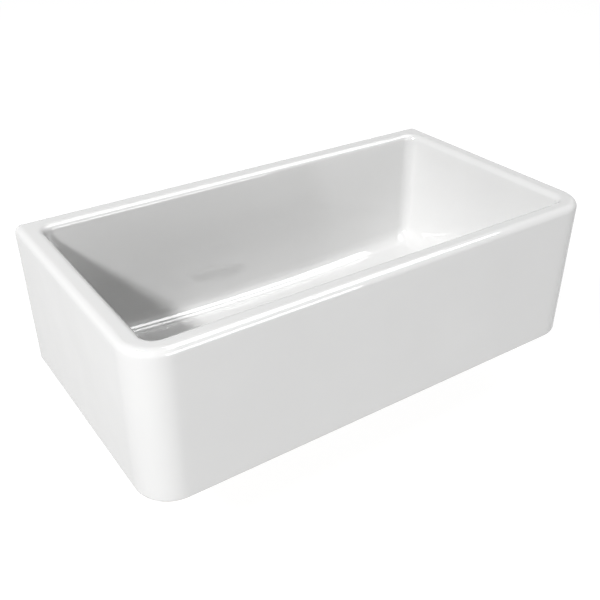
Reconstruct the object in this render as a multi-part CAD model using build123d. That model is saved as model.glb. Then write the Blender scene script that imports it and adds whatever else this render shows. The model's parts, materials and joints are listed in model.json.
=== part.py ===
"""Apron front kitchen sink: a glazed fireclay basin with its basket strainer waste."""

import os
from math import cos, radians, sqrt, tan

from build123d import *

os.makedirs("parts", exist_ok=True)

# ---------------------------------------------------------------- driving dimensions, in mm
# Basin, outside
basin_width = 838.0
basin_depth = 458.0
basin_height = 254.0
front_corner_radius = 57.0
rear_corner_radius = 13.0
rim_outer_radius = 12.0
foot_edge_radius = 6.0

# Basin, bowl
front_rim_width = 32.0
rear_rim_width = 35.0
side_rim_width = 34.0
rim_inner_radius = 11.0
wall_draft = 5.6
bowl_corner_rim_radius = 21.0
bowl_corner_floor_radius = 18.0
cove_radius = 32.0
floor_dish_radius = 5000.0

# Drain opening in the basin
drain_land = 18.0
recess_depth = 4.0
recess_edge_radius = 1.6
drain_hole_radius = 45.0
hole_chamfer = 1.0
gasket_seat_margin = 5.5
gasket_seat_depth = 1.0

# Strainer body, a drawn steel cup that hangs from its flange
flange_radius = 57.15
flange_flat_width = 7.0
flange_dish = 1.8
body_sheet = 1.0
neck_radius = 43.0
neck_bend_radius = 3.0
cup_depth = 58.0
cup_bend_radius = 7.0
seat_outer_radius = 30.0
seat_rise = 3.5
well_radius = 19.5
well_depth = 6.0
well_edge_radius = 1.0
outlet_hub_radius = 5.0
crossbar_width = 4.5

# Seals, rings and nut that clamp the strainer body to the basin
flange_seal_least_thickness = 0.4
flange_seal_edge = 1.0
gasket_thickness = 4.5
gasket_radius = 54.5
friction_ring_thickness = 1.0
friction_ring_radius = 53.0
lock_nut_height = 11.0
lock_nut_radius = 49.0
lock_nut_base_thickness = 3.5
lock_nut_base_radius = 53.0
lock_nut_lugs = 8
lock_nut_lug_width = 7.0
lock_nut_lug_radius = 56.0
lock_nut_lug_corner_radius = 1.5

# Outlet
spud_radius = 23.8
spud_length = 15.0
washer_thickness = 2.0
tailpiece_radius = 19.05
tailpiece_wall = 0.9
tailpiece_length = 101.6
tailpiece_flange_radius = 22.6
tailpiece_flange_thickness = 1.2
tailpiece_neck_swell = 0.2
tailpiece_neck_length = 5.0
coupling_nut_flats = 54.0
coupling_nut_height = 18.0
coupling_nut_lip = 3.0
coupling_nut_sides = 8

# Basket
basket_sheet = 0.8
basket_rim_radius = 47.0
basket_depth = 37.0
basket_wall_draft = 4.0
basket_bend_radius = 5.0
floor_hole_radius = 2.8
floor_hole_rings = 2
floor_hole_ring_spacing = 10.0
first_ring_radius = 17.0
first_ring_holes = 10
holes_added_per_ring = 6
wall_hole_radius = 3.0
wall_holes = 12
wall_hole_height = 19.0

# Guide that the post slides in
guide_wall = 3.2
guide_height = 9.0
guide_flange_width = 2.6
guide_flange_thickness = 1.4
spigot_wall = 1.6
spigot_lip_width = 0.9
spigot_lip_thickness = 0.9
clip_wire = 1.1
clip_height = 4.5
clip_gap_angle = 50.0

# Post, knob and stopper
post_radius = 4.0
post_groove_depth = 0.6
post_groove_width = 1.6
post_screw_radius = 2.5
post_screw_end = 0.5
stopper_travel = 10.0
knob_radius = 10.5
knob_waist_radius = 7.5
knob_foot_radius = 9.0
knob_height = 15.0
knob_crown = 2.5
knob_bore_depth = 9.0
knob_above_guide = 4.0
plate_radius = 25.0
plate_thickness = 1.2
seal_radius = 27.5
seal_thickness = 5.5
seal_bevel = 1.5
seal_washer_radius = 9.0
seal_washer_thickness = 1.0
seal_nut_flats = 8.0
seal_nut_height = 4.0

# Clearances
running_clearance = 0.05
seat_clearance = 0.3
ring_clearance = 0.4
recess_clearance = 1.85

# ---------------------------------------------------------------- worked out from the above
# Heights are above the basin's underside until save() lifts them.
recess_radius = flange_radius + recess_clearance
seat_z = drain_land
floor_at_recess_z = seat_z + recess_depth
floor_centre_z = floor_at_recess_z - recess_radius**2 / (2 * floor_dish_radius)

dish_outer_radius = flange_radius - flange_flat_width
neck_mid_radius = neck_radius - body_sheet / 2
dish_slope = flange_dish / (dish_outer_radius - neck_mid_radius)
flange_bottom_z = (
    seat_z + flange_seal_least_thickness + dish_slope * (dish_outer_radius - drain_hole_radius)
)
flange_top_z = flange_bottom_z + body_sheet
flange_mid_z = flange_top_z - body_sheet / 2
cup_floor_z = flange_top_z - cup_depth
outlet_face_z = cup_floor_z - body_sheet

gasket_seat_radius = gasket_radius + gasket_seat_margin
gasket_bottom_z = gasket_seat_depth - gasket_thickness
friction_ring_bottom_z = gasket_bottom_z - friction_ring_thickness
lock_nut_bottom_z = friction_ring_bottom_z - lock_nut_height
collar_bore_radius = neck_radius + ring_clearance

spud_bottom_z = outlet_face_z - spud_length
washer_bottom_z = spud_bottom_z - washer_thickness
tailpiece_lip_z = washer_bottom_z - tailpiece_flange_thickness
tailpiece_bottom_z = washer_bottom_z - tailpiece_length
tailpiece_neck_bottom_z = tailpiece_lip_z - tailpiece_neck_length
tailpiece_neck_radius = tailpiece_radius + tailpiece_neck_swell
tailpiece_bore_radius = tailpiece_radius - tailpiece_wall

basket_offset = body_sheet / 2 + seat_clearance + basket_sheet / 2
basket_wall_radius = neck_mid_radius - basket_offset
basket_rim_z = flange_mid_z - dish_slope * (dish_outer_radius - basket_rim_radius)
basket_rim_z += basket_offset * sqrt(1 + dish_slope**2)
basket_shoulder_z = basket_rim_z - dish_slope * (basket_rim_radius - basket_wall_radius)
basket_floor_mid_z = basket_rim_z - basket_depth
basket_floor_z = basket_floor_mid_z + basket_sheet / 2
basket_floor_radius = basket_wall_radius - tan(radians(basket_wall_draft)) * (
    basket_shoulder_z - basket_floor_mid_z
)

guide_bore_radius = post_radius + running_clearance
guide_radius = guide_bore_radius + guide_wall
spigot_radius = guide_bore_radius + spigot_wall
guide_top_z = basket_floor_z + guide_height
clip_z = basket_floor_z + clip_height

seal_bottom_z = cup_floor_z + seat_clearance
seal_top_z = seal_bottom_z + seal_thickness
plate_top_z = seal_top_z + plate_thickness
seal_washer_bottom_z = seal_bottom_z - seal_washer_thickness
seal_nut_bottom_z = seal_washer_bottom_z - seal_nut_height
knob_bottom_z = guide_top_z + knob_above_guide
screw_hole_radius = post_screw_radius + running_clearance

# The origin is the centre of the tailpiece's open end.
underside_z = -tailpiece_bottom_z


# ---------------------------------------------------------------- helpers
def save(node, shape):
    """Lift a piece so that the tailpiece ends at height zero, and write it."""
    placed = Pos(0, 0, underside_z) * shape
    placed.label = node
    export_step(placed, f"parts/{node}.step")


def turned(*outline):
    """Revolve a closed outline of (radius, height) points about the drain axis."""
    return revolve(make_face(Plane.XZ * Polyline(*outline, close=True)), Axis.Z)


def turned_sheet(line, thickness):
    """Revolve a sheet of even thickness, given by its middle line."""
    return revolve(Plane.XZ * trace(line, thickness), Axis.Z)


def disc(radius, bottom_z, height):
    """A flat disc on the drain axis."""
    return Pos(0, 0, bottom_z) * extrude(Circle(radius), height)


def ring(inner_radius, outer_radius, bottom_z, height):
    """A flat ring on the drain axis."""
    section = Circle(outer_radius) - Circle(inner_radius)
    return Pos(0, 0, bottom_z) * extrude(section, height)


def around(count, shape):
    """Copies of a shape, spaced evenly about the drain axis."""
    return [Rot(0, 0, 360.0 * i / count) * shape for i in range(count)]


# ---------------------------------------------------------------- basin
def outer_plan():
    plan = Rectangle(basin_width, basin_depth)
    front = plan.vertices().group_by(Axis.Y)[0]
    plan = fillet(front, front_corner_radius)
    rear = plan.vertices().group_by(Axis.Y)[-1]
    return fillet(rear, rear_corner_radius)


def bowl_plan(height, corner_radius=0.0):
    """The bowl's plan at a height, from its rim widths and the draft of its walls."""
    inset = (basin_height - height) * tan(radians(wall_draft))
    width = basin_width - 2 * side_rim_width - 2 * inset
    front_y = -basin_depth / 2 + front_rim_width + inset
    rear_y = basin_depth / 2 - rear_rim_width - inset
    if corner_radius:
        plan = RectangleRounded(width, rear_y - front_y, corner_radius)
    else:
        plan = Rectangle(width, rear_y - front_y)
    return Pos(0, (rear_y + front_y) / 2, height) * plan


def make_bowl():
    """The hollow of the bowl: drafted walls, rounded corners, a wide cove and a dished floor."""
    below_floor_z = floor_centre_z - recess_depth
    dish = Pos(0, 0, floor_centre_z + floor_dish_radius) * Rot(0, 90, 0)
    dish = dish * Sphere(floor_dish_radius)
    square = loft([bowl_plan(below_floor_z), bowl_plan(basin_height)], ruled=True) & dish
    floor = square.faces().filter_by(GeomType.SPHERE)[0]
    coved = fillet(floor.edges(), cove_radius)
    rounded = loft(
        [
            bowl_plan(below_floor_z, bowl_corner_floor_radius),
            bowl_plan(basin_height, bowl_corner_rim_radius),
        ],
        ruled=True,
    )
    return coved & rounded


def make_basin():
    basin = extrude(outer_plan(), basin_height)
    basin = fillet(basin.faces().sort_by(Axis.Z)[-1].edges(), rim_outer_radius)
    basin = fillet(basin.faces().sort_by(Axis.Z)[0].edges(), foot_edge_radius)
    basin -= make_bowl()
    rim = basin.faces().sort_by(Axis.Z)[-1]
    basin = fillet(rim.inner_wires()[0].edges(), rim_inner_radius)

    basin -= disc(recess_radius, seat_z, basin_height)
    basin -= disc(drain_hole_radius, 0, basin_height)
    floor = basin.faces().filter_by(GeomType.SPHERE).sort_by(SortBy.AREA)[-1]
    basin = fillet(floor.inner_wires()[0].edges(), recess_edge_radius)
    basin -= disc(gasket_seat_radius, 0, gasket_seat_depth)
    gasket_seat = basin.faces().filter_by(Axis.Z).group_by(Axis.Z)[1][0]
    return chamfer(gasket_seat.inner_wires()[0].edges(), hole_chamfer)


# ---------------------------------------------------------------- strainer body and its clamp
def make_strainer_body():
    """The drawn steel cup, with a cross of bars left in its outlet."""
    floor_mid_z = cup_floor_z - body_sheet / 2
    well_mid_radius = well_radius - body_sheet / 2
    no_bend = 0.0
    bends = [neck_bend_radius, neck_bend_radius, cup_bend_radius]
    bends += [no_bend, well_edge_radius, no_bend]
    line = FilletPolyline(
        (flange_radius, flange_mid_z),
        (dish_outer_radius, flange_mid_z),
        (neck_mid_radius, flange_mid_z - flange_dish),
        (neck_mid_radius, floor_mid_z + seat_rise),
        (seat_outer_radius, floor_mid_z),
        (well_mid_radius, floor_mid_z),
        (well_mid_radius, floor_mid_z - well_depth),
        (0, floor_mid_z - well_depth),
        radius=bends,
    )
    body = turned_sheet(line, body_sheet)
    windows = Circle(well_radius - 2 * body_sheet) - Circle(outlet_hub_radius)
    for angle in (0, 90):
        windows -= Rot(0, 0, angle) * Rectangle(2 * well_radius, crossbar_width)
    return body - Pos(0, 0, floor_mid_z - well_depth) * extrude(windows, 2 * body_sheet, both=True)


def make_flange_seal(body):
    """The bead of sealant that fills the space under the flange."""
    bead = ring(
        drain_hole_radius + ring_clearance,
        flange_radius - flange_seal_edge,
        seat_z,
        flange_bottom_z - seat_z,
    )
    below_flange = (bead - body).solids().sort_by(Axis.Z)[0]
    return below_flange


def make_lock_nut():
    """A low ring with a wide base and lugs to turn it by."""
    nut = ring(collar_bore_radius, lock_nut_radius, lock_nut_bottom_z, lock_nut_height)
    base_z = friction_ring_bottom_z - lock_nut_base_thickness
    nut += ring(collar_bore_radius, lock_nut_base_radius, base_z, lock_nut_base_thickness)
    root_radius = (collar_bore_radius + lock_nut_radius) / 2
    lug_height = lock_nut_height - lock_nut_base_thickness / 2
    lug = Box(lock_nut_lug_radius - root_radius, lock_nut_lug_width, lug_height)
    outer_edges = lug.edges().filter_by(Axis.Z).group_by(Axis.X)[-1]
    lug = fillet(outer_edges, lock_nut_lug_corner_radius)
    lug_x = (lock_nut_lug_radius + root_radius) / 2
    lug = Pos(lug_x, 0, lock_nut_bottom_z + lug_height / 2) * lug
    for copy in around(lock_nut_lugs, lug):
        nut += copy
    return nut


# ---------------------------------------------------------------- outlet
def make_spud():
    """The threaded outlet ring, brazed round the well under the cup."""
    inner_radius = well_radius + running_clearance
    return turned(
        (inner_radius, spud_bottom_z),
        (spud_radius, spud_bottom_z),
        (spud_radius, outlet_face_z),
        (inner_radius + well_edge_radius, outlet_face_z),
        (inner_radius, outlet_face_z - well_edge_radius),
    )


def make_tailpiece():
    """A thin tube with a stouter neck and a turned-out lip that the coupling nut pulls up."""
    return turned(
        (tailpiece_bore_radius, washer_bottom_z),
        (tailpiece_flange_radius, washer_bottom_z),
        (tailpiece_flange_radius, tailpiece_lip_z),
        (tailpiece_neck_radius, tailpiece_lip_z),
        (tailpiece_neck_radius, tailpiece_neck_bottom_z),
        (tailpiece_radius, tailpiece_neck_bottom_z),
        (tailpiece_radius, tailpiece_bottom_z),
        (tailpiece_bore_radius, tailpiece_bottom_z),
    )


def make_coupling_nut():
    """A many-sided nut with bevelled corners, a threaded bore and an inward lip."""
    flat_radius = coupling_nut_flats / 2
    corner_radius = flat_radius / cos(radians(180 / coupling_nut_sides))
    bevel = corner_radius - flat_radius
    bottom_z = tailpiece_lip_z - coupling_nut_lip
    top_z = bottom_z + coupling_nut_height
    section = RegularPolygon(flat_radius, coupling_nut_sides, major_radius=False)
    nut = Pos(0, 0, bottom_z) * extrude(section, coupling_nut_height)
    nut &= turned(
        (0, bottom_z),
        (flat_radius, bottom_z),
        (corner_radius, bottom_z + bevel),
        (corner_radius, top_z - bevel),
        (flat_radius, top_z),
        (0, top_z),
    )
    nut -= disc(spud_radius + running_clearance, tailpiece_lip_z, coupling_nut_height)
    return nut - disc(tailpiece_neck_radius + ring_clearance, bottom_z, coupling_nut_height)


# ---------------------------------------------------------------- basket
def make_basket_cup():
    """A thin cup whose rim rests in the flange, with rows of holes in its floor and wall."""
    line = FilletPolyline(
        (basket_rim_radius, basket_rim_z),
        (basket_wall_radius, basket_shoulder_z),
        (basket_floor_radius, basket_floor_mid_z),
        (spigot_radius, basket_floor_mid_z),
        radius=[neck_bend_radius + basket_offset, basket_bend_radius],
    )
    cup = turned_sheet(line, basket_sheet)
    for i in range(floor_hole_rings):
        radius = first_ring_radius + i * floor_hole_ring_spacing
        count = first_ring_holes + i * holes_added_per_ring
        hole = Pos(radius, 0, basket_floor_mid_z) * Cylinder(floor_hole_radius, 4 * basket_sheet)
        cup -= around(count, hole)
    reach = 2 * (basket_wall_radius - basket_floor_radius) + 4 * basket_sheet
    hole = Rot(0, 90, 0) * Cylinder(wall_hole_radius, reach)
    hole = Pos(basket_wall_radius, 0, basket_floor_mid_z + wall_hole_height) * hole
    cup -= around(wall_holes, hole)
    return cup


def make_guide():
    """A short bush, riveted through the basket's floor, with a groove inside for its clip."""
    lip_top_z = basket_floor_z - basket_sheet
    lip_bottom_z = lip_top_z - spigot_lip_thickness
    foot_radius = guide_radius + guide_flange_width
    guide = turned(
        (guide_bore_radius, lip_bottom_z),
        (spigot_radius + spigot_lip_width, lip_bottom_z),
        (spigot_radius + spigot_lip_width, lip_top_z),
        (spigot_radius, lip_top_z),
        (spigot_radius, basket_floor_z),
        (foot_radius, basket_floor_z),
        (foot_radius, basket_floor_z + guide_flange_thickness),
        (guide_radius, basket_floor_z + guide_flange_thickness),
        (guide_radius, guide_top_z),
        (guide_bore_radius, guide_top_z),
    )
    return guide - ring(guide_bore_radius, guide_bore_radius + clip_wire, clip_z, clip_wire)


def make_guide_clip():
    """The open spring ring that holds the post at either end of its travel."""
    clip = ring(guide_bore_radius, guide_bore_radius + clip_wire, clip_z, clip_wire)
    half_gap = guide_radius * tan(radians(clip_gap_angle / 2))
    gap = extrude(
        make_face(
            Polyline((0, 0), (guide_radius, -half_gap), (guide_radius, half_gap), close=True)
        ),
        2 * clip_wire,
    )
    return clip - Pos(0, 0, clip_z - clip_wire / 2) * gap


# ---------------------------------------------------------------- post, knob and stopper
def make_post():
    """A rod with a clip groove for each end of its travel and a thin screwed end."""
    top_z = knob_bottom_z + knob_bore_depth
    bottom_z = seal_nut_bottom_z - post_screw_end
    post = turned(
        (0, bottom_z),
        (post_screw_radius, bottom_z),
        (post_screw_radius, plate_top_z),
        (post_radius, plate_top_z),
        (post_radius, top_z),
        (0, top_z),
    )
    for height in (clip_z, clip_z - stopper_travel):
        groove_z = height - (post_groove_width - clip_wire) / 2
        inner_radius = post_radius - post_groove_depth
        post -= ring(inner_radius, post_radius + post_groove_depth, groove_z, post_groove_width)
    return post


def make_knob():
    """A waisted knob with a crowned top, bored from below for the post."""
    top_z = knob_bottom_z + knob_height
    edge_z = top_z - knob_crown
    crown = TangentArc((0, top_z), (knob_radius, edge_z), tangent=(1, 0))
    side = ThreePointArc(
        (knob_radius, edge_z),
        (knob_waist_radius, (knob_bottom_z + edge_z) / 2),
        (knob_foot_radius, knob_bottom_z),
    )
    base = Polyline((knob_foot_radius, knob_bottom_z), (0, knob_bottom_z), (0, top_z))
    knob = revolve(make_face(Plane.XZ * Wire([crown, side] + base.edges())), Axis.Z)
    return knob - disc(post_radius + running_clearance, knob_bottom_z, knob_bore_depth)


def make_stopper_seal():
    """The rubber disc that closes the well."""
    return turned(
        (screw_hole_radius, seal_bottom_z),
        (seal_radius - seal_bevel, seal_bottom_z),
        (seal_radius, seal_bottom_z + seal_bevel),
        (seal_radius, seal_top_z - seal_bevel),
        (seal_radius - seal_bevel, seal_top_z),
        (screw_hole_radius, seal_top_z),
    )


def make_seal_nut():
    section = RegularPolygon(seal_nut_flats / 2, 6, major_radius=False) - Circle(screw_hole_radius)
    return Pos(0, 0, seal_nut_bottom_z) * extrude(section, seal_nut_height)


# ---------------------------------------------------------------- write the pieces
strainer_body = make_strainer_body()
pieces = {
    "basin": make_basin(),
    "flange_seal": make_flange_seal(strainer_body),
    "strainer_body": strainer_body,
    "body_gasket": ring(collar_bore_radius, gasket_radius, gasket_bottom_z, gasket_thickness),
    "friction_ring": ring(
        collar_bore_radius,
        friction_ring_radius,
        friction_ring_bottom_z,
        friction_ring_thickness,
    ),
    "lock_nut": make_lock_nut(),
    "outlet_spud": make_spud(),
    "tailpiece_washer": ring(
        tailpiece_bore_radius, tailpiece_flange_radius, washer_bottom_z, washer_thickness
    ),
    "tailpiece": make_tailpiece(),
    "coupling_nut": make_coupling_nut(),
    "basket_cup": make_basket_cup(),
    "post_guide": make_guide(),
    "guide_clip": make_guide_clip(),
    "stopper_post": make_post(),
    "knob": make_knob(),
    "stopper_plate": ring(screw_hole_radius, plate_radius, seal_top_z, plate_thickness),
    "stopper_seal": make_stopper_seal(),
    "seal_washer": ring(
        screw_hole_radius, seal_washer_radius, seal_washer_bottom_z, seal_washer_thickness
    ),
    "seal_nut": make_seal_nut(),
}
for node, shape in pieces.items():
    save(node, shape)
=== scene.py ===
import json
import math

import bmesh
import bpy
import numpy as np
from mathutils import Matrix, Vector

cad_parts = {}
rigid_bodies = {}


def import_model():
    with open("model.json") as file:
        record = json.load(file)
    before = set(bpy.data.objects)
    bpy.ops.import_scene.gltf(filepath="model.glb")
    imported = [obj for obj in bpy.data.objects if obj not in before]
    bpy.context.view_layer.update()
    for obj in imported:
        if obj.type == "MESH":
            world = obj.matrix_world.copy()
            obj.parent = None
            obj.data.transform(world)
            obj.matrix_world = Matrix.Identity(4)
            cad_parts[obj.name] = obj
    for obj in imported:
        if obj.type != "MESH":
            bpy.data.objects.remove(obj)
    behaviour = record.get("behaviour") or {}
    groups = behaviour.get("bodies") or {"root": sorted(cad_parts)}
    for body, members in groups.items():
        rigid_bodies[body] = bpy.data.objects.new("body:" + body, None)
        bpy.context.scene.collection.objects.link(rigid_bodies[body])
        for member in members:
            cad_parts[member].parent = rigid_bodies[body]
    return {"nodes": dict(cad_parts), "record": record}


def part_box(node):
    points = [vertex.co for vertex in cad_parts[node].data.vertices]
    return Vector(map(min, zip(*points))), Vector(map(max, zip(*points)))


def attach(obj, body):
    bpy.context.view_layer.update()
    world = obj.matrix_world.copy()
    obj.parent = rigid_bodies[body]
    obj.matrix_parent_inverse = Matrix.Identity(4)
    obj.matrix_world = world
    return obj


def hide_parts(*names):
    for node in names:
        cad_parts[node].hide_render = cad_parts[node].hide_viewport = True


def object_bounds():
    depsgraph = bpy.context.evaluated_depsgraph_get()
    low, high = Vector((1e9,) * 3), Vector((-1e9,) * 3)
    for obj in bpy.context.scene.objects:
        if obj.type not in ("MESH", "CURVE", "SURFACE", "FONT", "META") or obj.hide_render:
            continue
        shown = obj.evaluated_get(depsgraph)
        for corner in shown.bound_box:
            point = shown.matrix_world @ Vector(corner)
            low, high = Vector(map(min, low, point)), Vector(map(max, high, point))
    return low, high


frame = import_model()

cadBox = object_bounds()
print("frame loaded:", len(frame["nodes"]), "nodes")

mm = 0.001
basinLow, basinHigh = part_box("basin")
undersideZ, rimZ = basinLow.z, basinHigh.z
bodyOf = {node: body for body, members in frame["record"]["behaviour"]["bodies"].items()
          for node in members}
slotOf = {part["node"]: part["material_slot"] for part in frame["record"]["subparts"]}

# values that the meshes below share
grid = {
    "merge": 1e-7,              # how close doubles lie
    "sharpAngle": math.radians(40),
    "crowding": 0.6,            # of a surface's rows towards both ends: 0 is even, 1 the most
    "arcSteps": 4,              # in each rounded corner of a section
    "longestTouch": 0.45,       # the most of a side that its rounding takes
    "onThread": 1e-6,           # how near a point lies to a thread's radius
    "threadSteps": 10,          # rows in one pitch
}


def gridFaces(rows, columns, closeRows, closeColumns):
    # every cell of a grid as one quad; a closed direction joins its last line to its first
    r, c = np.meshgrid(np.arange(rows - (not closeRows)), np.arange(columns - (not closeColumns)),
                       indexing="ij")
    nextR, nextC = (r + 1) % rows, (c + 1) % columns
    corners = [r * columns + c, r * columns + nextC, nextR * columns + nextC, nextR * columns + c]
    return np.stack(corners, axis=-1).reshape(-1, 4).tolist()


def makePiece(name, points, faces, node):
    # points in metres, and faces as lists of their indices; doubles are merged, so seams and
    # poles close, and then the normals are turned outwards
    mesh = bpy.data.meshes.new(name)
    mesh.from_pydata(points.reshape(-1, 3).tolist(), [], faces)
    work = bmesh.new()
    work.from_mesh(mesh)
    bmesh.ops.remove_doubles(work, verts=work.verts, dist=grid["merge"])
    bmesh.ops.recalc_face_normals(work, faces=work.faces)
    work.to_mesh(mesh)
    work.free()
    mesh.shade_smooth()
    mesh.set_sharp_from_angle(angle=grid["sharpAngle"])
    piece = bpy.data.objects.new(name, mesh)
    bpy.context.scene.collection.objects.link(piece)
    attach(piece, bodyOf[node])
    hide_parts(node)
    piece["slotNode"] = node
    return piece


def spread(count):
    # count values from 0 to 1: a blend of an even step and half a cosine
    even = np.linspace(0, 1, count)
    cosine = (1 - np.cos(np.pi * even)) / 2
    return (1 - grid["crowding"]) * even + grid["crowding"] * cosine


def quarterTurn(count):
    return np.linspace(0, np.pi / 2, count)


basin = {
    "frontCorner": 57 * mm, "rearCorner": 13 * mm, "rimOuter": 12 * mm, "foot": 6 * mm,
    "frontRim": 32 * mm, "rearRim": 35 * mm, "sideRim": 34 * mm, "rimInner": 11 * mm,
    "draft": math.radians(5.6), "cornerRim": 21 * mm, "cornerFloor": 18 * mm,
    "cove": 32 * mm, "dish": 5.0, "land": 18 * mm, "recessDepth": 4 * mm,
    "recess": 59 * mm, "recessEdge": 1.6 * mm, "hole": 45 * mm, "holeChamfer": 1 * mm,
    "seat": 60 * mm, "seatDepth": 1 * mm,
    "floorEdge": 0.8,       # share of the cove's radius from the wall's foot to the floor's edge
    # columns along each end, side and corner, and rows over each stretch of the section
    "endColumns": 26, "sideColumns": 40, "cornerColumns": 20,
    "undersideRows": 9, "footRows": 9, "outsideRows": 16, "rimRows": 13, "rimFlatRows": 6,
    "wallRows": 18, "coveRows": 21, "floorRows": 22, "lipRows": 6,
}


def basinColumns():
    # One column for each place round the plan, anticlockwise from the right side's front end.
    # along: which corner centre across (-1 to 1); back: share of the way from front to rear
    # corner centre; turn: the angle of the outward normal.
    b = basin
    end, side = spread(b["endColumns"]), spread(b["sideColumns"])
    arc = quarterTurn(b["cornerColumns"] + 1)[1:-1]
    one, flat = np.ones_like, np.zeros_like
    runs = [(one(end), end, flat(end)),
            (one(arc), one(arc), arc),
            (1 - 2 * side, one(side), flat(side) + np.pi / 2),
            (-one(arc), one(arc), arc + np.pi / 2),
            (-one(end), 1 - end, flat(end) + np.pi),
            (-one(arc), flat(arc), arc + np.pi),
            (2 * side - 1, flat(side), flat(side) + 1.5 * np.pi),
            (one(arc), flat(arc), arc + 1.5 * np.pi)]
    along, back, turn = (np.concatenate([run[i] for run in runs]) for i in range(3))
    return along, back, turn


def planLine(columns, halfWidth, frontY, rearY, inset, frontRadius, rearRadius):
    # A rounded rectangle drawn in by inset: corner centre plus radius times the outward normal.
    along, back, turn = columns
    radius = np.where(back < 0.5, frontRadius, rearRadius)
    x = along * (halfWidth - inset - radius) + radius * np.cos(turn)
    frontCentre, rearCentre = frontY + inset + frontRadius, rearY - inset - rearRadius
    y = frontCentre + back * (rearCentre - frontCentre) + radius * np.sin(turn)
    return x, y


def floorHeight(x, y):
    # the floor is a shallow sphere: its lowest point is on the drain axis
    b = basin
    centre = b["land"] + b["recessDepth"] - b["recess"]**2 / (2 * b["dish"])
    return centre + b["dish"] - np.sqrt(b["dish"]**2 - x**2 - y**2)


def basinSurface():
    # Rows of the closed surface, from the hole's lower edge out under the foot, up the outside,
    # over the rim, down the bowl wall and cove, in over the floor and down through the hole.
    b = basin
    columns = basinColumns()
    turn = columns[2]
    height = rimZ - undersideZ
    outer = basinHigh.x, basinLow.y, basinHigh.y
    inner = outer[0] - b["sideRim"], outer[1] + b["frontRim"], outer[2] - b["rearRim"]
    rows = []

    def addRow(x, y, z):
        rows.append(np.stack([x, y, z + np.zeros_like(x) + undersideZ], axis=-1))

    def outsideLine(inset):
        return planLine(columns, *outer, inset, b["frontCorner"] - inset, b["rearCorner"] - inset)

    def bowlLine(inset, radius):
        return planLine(columns, *inner, inset, radius, radius)

    def between(first, last, share):
        return [start + share * (end - start) for start, end in zip(first, last)]

    def wallInset(z):
        return (height - z) * math.tan(b["draft"])

    def cornerAt(z):
        return b["cornerRim"] + (b["cornerFloor"] - b["cornerRim"]) * (height - z) / height

    # the floor's edge gives each column its bearing from the drain axis
    floorX, floorY = bowlLine(wallInset(0) + b["floorEdge"] * b["cove"], b["cornerFloor"])
    bearing = np.arctan2(floorY, floorX)

    def circle(radius):
        return radius * np.cos(bearing), radius * np.sin(bearing)

    # seat of the gasket, then the underside
    addRow(*circle(b["hole"] + b["holeChamfer"]), b["seatDepth"])
    addRow(*circle(b["seat"]), b["seatDepth"])
    for share in spread(b["undersideRows"]):
        addRow(*between(circle(b["seat"]), outsideLine(b["foot"]), share), 0)
    # foot, outer wall, outer rim
    for angle in quarterTurn(b["footRows"])[1:]:
        addRow(*outsideLine(b["foot"] * (1 - math.sin(angle))), b["foot"] * (1 - math.cos(angle)))
    for share in spread(b["outsideRows"])[1:-1]:
        addRow(*outsideLine(0), b["foot"] + share * (height - b["rimOuter"] - b["foot"]))
    for angle in quarterTurn(b["rimRows"]):
        addRow(*outsideLine(b["rimOuter"] * (1 - math.cos(angle))),
               height - b["rimOuter"] * (1 - math.sin(angle)))
    # flat of the rim, and the rounding into the bowl, whose centre lies outside the wall
    centreInset = b["rimInner"] * (math.sin(b["draft"]) - 1) / math.cos(b["draft"])
    flatOuter = rows[-1][:, 0], rows[-1][:, 1]
    flatInner = bowlLine(centreInset, b["cornerRim"] - centreInset)
    for share in spread(b["rimFlatRows"])[1:-1]:
        addRow(*between(flatOuter, flatInner, share), height)
    for angle in np.linspace(0, np.pi / 2 - b["draft"], b["rimRows"]):
        inset = centreInset + b["rimInner"] * math.sin(angle)
        addRow(*bowlLine(inset, b["cornerRim"] - min(inset, 0)),
               height - b["rimInner"] * (1 - math.cos(angle)))
    # cove: a circle that touches the drafted wall and the dished floor in each column's own plane
    rise = (floorX * np.cos(turn) + floorY * np.sin(turn)) / b["dish"]
    centreZ = floorHeight(floorX, floorY) + b["cove"] / np.cos(rise)
    centreIn = wallInset(centreZ) + b["cove"] / math.cos(b["draft"])
    wallTopZ = rows[-1][0, 2] - undersideZ
    coveTopZ = centreZ - b["cove"] * math.sin(b["draft"])
    for share in spread(b["wallRows"])[1:-1]:
        z = wallTopZ + share * (coveTopZ - wallTopZ)
        addRow(*bowlLine(wallInset(z), cornerAt(z)), z)
    for share in np.linspace(0, 1, b["coveRows"]):
        angle = (np.pi / 2 - b["draft"]) * (1 - share) + rise * share
        z = centreZ - b["cove"] * np.cos(angle)
        addRow(*bowlLine(centreIn - b["cove"] * np.sin(angle), cornerAt(z)), z)
    # floor, drawn in along each bearing to the rounded edge of the recess, then recess and hole
    floorEdge = rows[-1][:, 0], rows[-1][:, 1]
    lipRadius, lipZ = b["recess"] + b["recessEdge"], b["land"] + b["recessDepth"]
    for share in spread(b["floorRows"])[1:]:
        x, y = between(floorEdge, circle(lipRadius), share)
        addRow(x, y, floorHeight(x, y))
    for angle in quarterTurn(b["lipRows"])[1:]:
        addRow(*circle(lipRadius - b["recessEdge"] * math.sin(angle)),
               lipZ - b["recessEdge"] * (1 - math.cos(angle)))
    addRow(*circle(b["recess"]), b["land"])
    addRow(*circle(b["hole"]), b["land"])
    addRow(*circle(b["hole"]), b["seatDepth"] + b["holeChamfer"])
    return np.stack(rows)


basinPoints = basinSurface()
basinPiece = makePiece("basinCasting", basinPoints,
                       gridFaces(*basinPoints.shape[:2], True, True), "basin")
print("basin done")


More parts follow.
